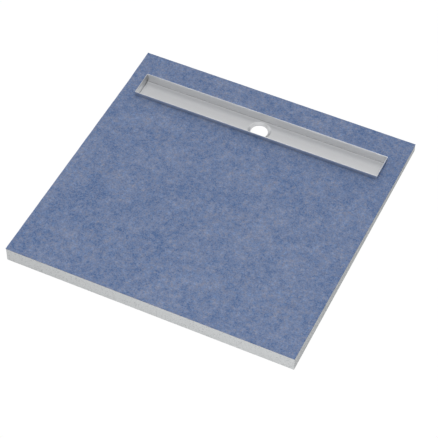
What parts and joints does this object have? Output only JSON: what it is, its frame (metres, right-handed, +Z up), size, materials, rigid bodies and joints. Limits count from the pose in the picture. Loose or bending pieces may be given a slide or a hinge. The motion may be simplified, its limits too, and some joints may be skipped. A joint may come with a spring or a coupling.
{
  "type": "tileable shower tray",
  "caption": "Square foam shower tray that falls to a narrow steel drain channel near its back edge, with a bonded sealing fleece face for tiles.",
  "frame": {"origin": "centre of the board's flat underside", "axes": "+Z up out of the fleece face; +Y towards the thin back edge beside the drain channel, so the thick front edge is at -Y; +X to the right along the channel"},
  "size_m": [0.9, 0.9, 0.05],
  "materials": {
    "foam_board": "fine-celled grey rigid foam, cut edges",
    "sealing_fleece": "mottled blue and grey nonwoven fleece",
    "drain_channel": "folded stainless steel, satin"
  },
  "bodies": {
    "root": {"foam_board": "foam_board", "sealing_fleece": "sealing_fleece", "drain_channel": "drain_channel"}
  },
  "joints": []
}
